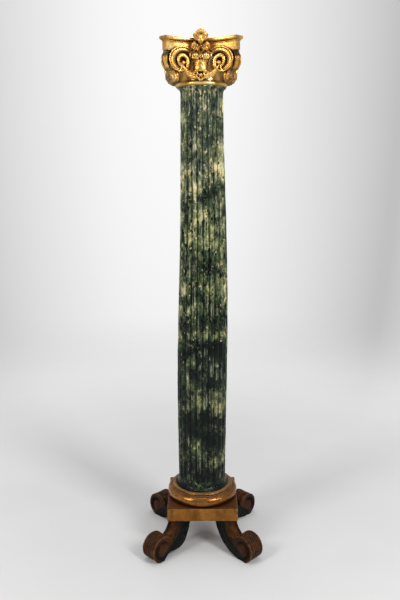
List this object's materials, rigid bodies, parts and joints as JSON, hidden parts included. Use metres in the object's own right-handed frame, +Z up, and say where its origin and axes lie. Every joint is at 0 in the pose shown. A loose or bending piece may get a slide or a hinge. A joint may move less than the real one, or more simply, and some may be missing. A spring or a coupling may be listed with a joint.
{
  "type": "ionic column",
  "caption": "Tall decorative Ionic column: painted fluted shaft, gilded four-sided capital, gilded base ring and a square plinth on carved scroll feet.",
  "frame": {"origin": "centre of the feet's footprint, on the floor", "axes": "+Z up along the column's axis, -Y to the front, +X to the right"},
  "size_m": [0.4526, 0.4526, 1.922],
  "materials": {
    "dark_walnut": "dark stained carved wood with a brown glaze, near-black green on the sides",
    "golden_brown_wood": "golden brown glazed wood, satin, darker on top",
    "worn_gilding": "wood with worn bronze-gold leaf over red-brown ground",
    "painted_marble": "wood painted as dark green marble with black flecks and cream clouds, varnished",
    "burnished_gilding": "carved wood with burnished gold leaf and dark toned recesses"
  },
  "bodies": {
    "root": {"foot_left_front": "dark_walnut", "foot_right_front": "dark_walnut", "foot_left_back": "dark_walnut", "foot_right_back": "dark_walnut", "plinth": "golden_brown_wood", "base_ring": "worn_gilding", "shaft": "painted_marble", "capital": "burnished_gilding"}
  },
  "joints": []
}
